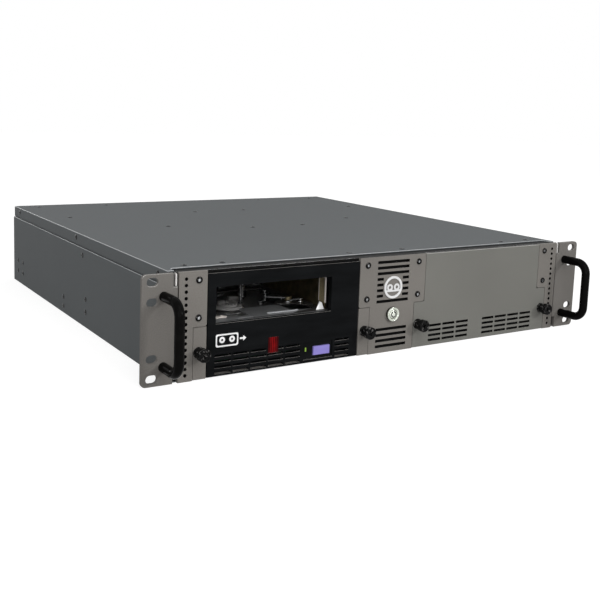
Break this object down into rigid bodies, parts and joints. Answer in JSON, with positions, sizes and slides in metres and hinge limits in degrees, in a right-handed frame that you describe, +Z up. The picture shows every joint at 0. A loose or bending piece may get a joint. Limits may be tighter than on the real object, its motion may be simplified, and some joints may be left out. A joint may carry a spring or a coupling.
{
  "type": "rack-mounted data tape drive",
  "caption": "Two-unit rack enclosure with a slide-in cartridge tape drive behind a slotted bezel, a vented blank bay panel, rack ears, bow handles and captive thumbscrews.",
  "frame": {"origin": "centre of the overall length and width, on the plane of the enclosure's underside", "axes": "+X to the right seen from the front, +Y from the front panel to the rear, +Z up"},
  "size_m": [0.4826, 0.488, 0.0886],
  "materials": {
    "chassis_paint": "fine satin powder coat",
    "plate_paint": "satin warm grey enamel",
    "frame_black": "satin black enamel",
    "handle_black": "gloss black enamel",
    "black_oxide": "oiled black oxide",
    "emblem_white": "glossy white",
    "switch_metal": "turned stainless",
    "bezel_black": "fine textured moulding",
    "window_red": "clear red filter",
    "lamp_green": "lit green lens",
    "key_violet": "satin moulding",
    "cast_deck": "as-cast and machined",
    "zinc_sheet": "plated sheet",
    "gold_sheet": "yellow passivated sheet",
    "turned_steel": "ground bar",
    "board_green": "solder mask",
    "moulded_black": "moulded nylon",
    "reel_grey": "moulded reel"
  },
  "bodies": {
    "chassis": {"base_tray": "chassis_paint", "top_cover": "chassis_paint", "rear_panel": "chassis_paint", "front_frame": "frame_black", "left_plate": "plate_paint", "right_plate": "plate_paint", "centre_plate": "plate_paint", "left_ear": "plate_paint", "right_ear": "plate_paint", "left_handle": "handle_black", "right_handle": "handle_black", "plate_screws": "black_oxide", "cover_screws": "chassis_paint", "side_screws": "chassis_paint", "badge": "emblem_white", "switch_body": "switch_metal", "bay_divider": "zinc_sheet", "side_rails": "zinc_sheet", "backplane_board": "board_green", "power_supply": "zinc_sheet", "mains_inlet": "moulded_black", "fan_frames": "moulded_black", "fan_guards": "switch_metal", "interface_board": "zinc_sheet"},
    "drive_module": {"module_tray": "plate_paint", "module_ferrules": "black_oxide", "drive_bezel": "bezel_black", "red_window": "window_red", "status_lamp": "lamp_green", "drive_base": "cast_deck", "drive_lid": "zinc_sheet", "motors": "zinc_sheet", "guide_posts": "turned_steel", "controller_board": "board_green", "module_connector": "moulded_black"},
    "blank_module": {"blank_panel": "plate_paint", "blank_ferrules": "black_oxide"},
    "power_key": {"power_button": "switch_metal"},
    "eject_key": {"eject_button": "key_violet"},
    "clutch": {"supply_clutch": "turned_steel"},
    "reel": {"takeup_reel": "reel_grey"},
    "head": {"head_assembly": "cast_deck"},
    "lead_screw": {"head_screw": "turned_steel"},
    "receiver": {"cartridge_receiver": "gold_sheet"},
    "arm": {"leader_arm": "turned_steel"},
    "rocker": {"mains_rocker": "moulded_black"},
    "roller_1": {"guide_roller_1": "turned_steel"},
    "roller_2": {"guide_roller_2": "turned_steel"},
    "roller_3": {"guide_roller_3": "turned_steel"},
    "roller_4": {"guide_roller_4": "turned_steel"},
    "fan_1": {"fan_rotor_1": "moulded_black"},
    "fan_2": {"fan_rotor_2": "moulded_black"},
    "retainer_ring_1": {"retainer_1": "turned_steel"},
    "screw_1": {"thumbscrew_1": "black_oxide"},
    "retainer_ring_2": {"retainer_2": "turned_steel"},
    "screw_2": {"thumbscrew_2": "black_oxide"},
    "retainer_ring_3": {"retainer_3": "turned_steel"},
    "screw_3": {"thumbscrew_3": "black_oxide"},
    "retainer_ring_4": {"retainer_4": "turned_steel"},
    "screw_4": {"thumbscrew_4": "black_oxide"}
  },
  "joints": [
    {"name": "drive_module_slide", "type": "slide", "parent": "chassis", "child": "drive_module", "axis": [0, -1, 0], "range_m": [0, 0.295]},
    {"name": "blank_panel_slide", "type": "slide", "parent": "chassis", "child": "blank_module", "axis": [0, -1, 0], "range_m": [0, 0.03]},
    {"name": "power_button_press", "type": "slide", "parent": "chassis", "child": "power_key", "axis": [0, 1, 0], "range_m": [0, 0.0015], "stiffness_N_per_m": 600, "springref_m": -0.001},
    {"name": "eject_button_press", "type": "slide", "parent": "drive_module", "child": "eject_key", "axis": [0, 1, 0], "range_m": [0, 0.0012], "stiffness_N_per_m": 400, "springref_m": -0.001},
    {"name": "supply_clutch_spin", "type": "hinge", "parent": "drive_module", "child": "clutch", "pos_m": [-0.1225, -0.125, 0.031], "axis": [0, 0, 1], "continuous": true},
    {"name": "takeup_reel_spin", "type": "hinge", "parent": "drive_module", "child": "reel", "pos_m": [-0.124, -0.047, 0.031], "axis": [0, 0, 1], "continuous": true},
    {"name": "head_screw_turn", "type": "hinge", "parent": "drive_module", "child": "lead_screw", "pos_m": [-0.05, -0.053, 0.031], "axis": [0, 0, 1], "range_deg": [-1080.5, 1080.5]},
    {"name": "head_lift", "type": "slide", "parent": "drive_module", "child": "head", "axis": [0, 0, 1], "range_m": [-0.003, 0.003]},
    {"name": "receiver_lower", "type": "slide", "parent": "drive_module", "child": "receiver", "axis": [0, 0, -1], "range_m": [0, 0.006]},
    {"name": "leader_arm_swing", "type": "hinge", "parent": "drive_module", "child": "arm", "pos_m": [-0.07, -0.104, 0.031], "axis": [0, 0, 1], "range_deg": [0, 50]},
    {"name": "mains_rocker_tilt", "type": "hinge", "parent": "chassis", "child": "rocker", "pos_m": [0.18, 0.2374, 0.0559], "axis": [1, 0, 0], "range_deg": [0, 16]},
    {"name": "guide_roller_1_spin", "type": "hinge", "parent": "drive_module", "child": "roller_1", "pos_m": [-0.086, -0.086, 0.04], "axis": [0, 0, 1], "continuous": true},
    {"name": "guide_roller_2_spin", "type": "hinge", "parent": "drive_module", "child": "roller_2", "pos_m": [-0.057, -0.082, 0.04], "axis": [0, 0, 1], "continuous": true},
    {"name": "guide_roller_3_spin", "type": "hinge", "parent": "drive_module", "child": "roller_3", "pos_m": [-0.052, -0.034, 0.04], "axis": [0, 0, 1], "continuous": true},
    {"name": "guide_roller_4_spin", "type": "hinge", "parent": "drive_module", "child": "roller_4", "pos_m": [-0.072, -0.014, 0.04], "axis": [0, 0, 1], "continuous": true},
    {"name": "fan_1_spin", "type": "hinge", "parent": "chassis", "child": "fan_1", "pos_m": [-0.06, 0.22, 0.04405], "axis": [0, 1, 0], "continuous": true},
    {"name": "fan_2_spin", "type": "hinge", "parent": "chassis", "child": "fan_2", "pos_m": [-0.14, 0.22, 0.04405], "axis": [0, 1, 0], "continuous": true},
    {"name": "thumbscrew_1_advance", "type": "slide", "parent": "drive_module", "child": "retainer_ring_1", "axis": [0, -1, 0], "range_m": [0, 0.0049]},
    {"name": "thumbscrew_1_turn", "type": "hinge", "parent": "retainer_ring_1", "child": "screw_1", "pos_m": [-0.1926, -0.22, 0.0225], "axis": [0, -1, 0], "range_deg": [0, 2520.5]},
    {"name": "thumbscrew_2_advance", "type": "slide", "parent": "drive_module", "child": "retainer_ring_2", "axis": [0, -1, 0], "range_m": [0, 0.0049]},
    {"name": "thumbscrew_2_turn", "type": "hinge", "parent": "retainer_ring_2", "child": "screw_2", "pos_m": [-0.0306, -0.22, 0.0225], "axis": [0, -1, 0], "range_deg": [0, 2520.5]},
    {"name": "thumbscrew_3_advance", "type": "slide", "parent": "blank_module", "child": "retainer_ring_3", "axis": [0, -1, 0], "range_m": [0, 0.0049]},
    {"name": "thumbscrew_3_turn", "type": "hinge", "parent": "retainer_ring_3", "child": "screw_3", "pos_m": [0.0306, -0.22, 0.0225], "axis": [0, -1, 0], "range_deg": [0, 2520.5]},
    {"name": "thumbscrew_4_advance", "type": "slide", "parent": "blank_module", "child": "retainer_ring_4", "axis": [0, -1, 0], "range_m": [0, 0.0049]},
    {"name": "thumbscrew_4_turn", "type": "hinge", "parent": "retainer_ring_4", "child": "screw_4", "pos_m": [0.1926, -0.22, 0.0225], "axis": [0, -1, 0], "range_deg": [0, 2520.5]}
  ],
  "couplings": [
    {"joint": "head_screw_turn", "follows": "head_lift", "rad_per_m": 6283.2},
    {"joint": "thumbscrew_1_turn", "follows": "thumbscrew_1_advance", "rad_per_m": 8976},
    {"joint": "thumbscrew_2_turn", "follows": "thumbscrew_2_advance", "rad_per_m": 8976},
    {"joint": "thumbscrew_3_turn", "follows": "thumbscrew_3_advance", "rad_per_m": 8976},
    {"joint": "thumbscrew_4_turn", "follows": "thumbscrew_4_advance", "rad_per_m": 8976}
  ]
}
